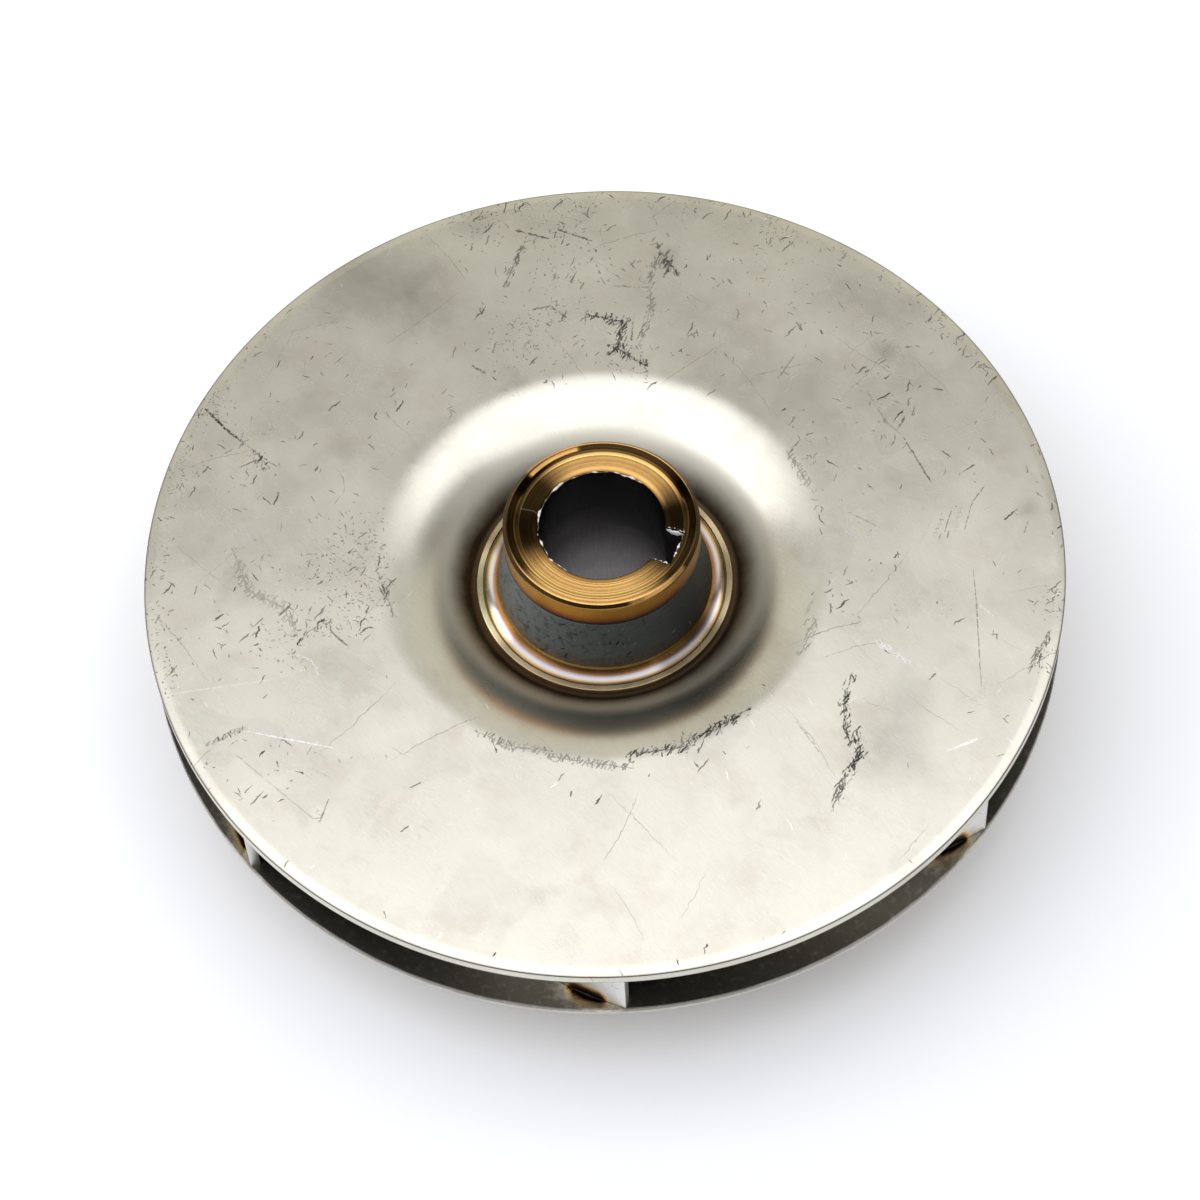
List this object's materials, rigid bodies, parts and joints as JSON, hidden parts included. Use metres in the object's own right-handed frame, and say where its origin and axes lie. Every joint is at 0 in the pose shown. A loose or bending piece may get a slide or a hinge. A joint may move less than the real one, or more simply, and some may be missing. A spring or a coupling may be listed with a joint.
{
  "type": "pump impeller",
  "caption": "Closed radial impeller of pressed and welded stainless sheet, with swept blades, suction neck and a turned, keyed hub.",
  "frame": {"origin": "on the shaft axis, in the plane of the suction neck's foot", "axes": "+Z along the shaft axis, from the suction neck towards the hub end"},
  "size_m": [0.14, 0.14, 0.0395],
  "materials": {
    "plate": "satin rolled stainless sheet, scuffed",
    "shroud": "satin rolled stainless sheet",
    "blade": "satin rolled stainless sheet",
    "hub": "turned stainless steel with straw and blue heat tint"
  },
  "bodies": {
    "root": {"back_plate": "plate", "front_shroud": "shroud", "hub": "hub", "blade_1": "blade", "blade_2": "blade", "blade_3": "blade", "blade_4": "blade", "blade_5": "blade", "blade_6": "blade", "blade_7": "blade"}
  },
  "joints": []
}
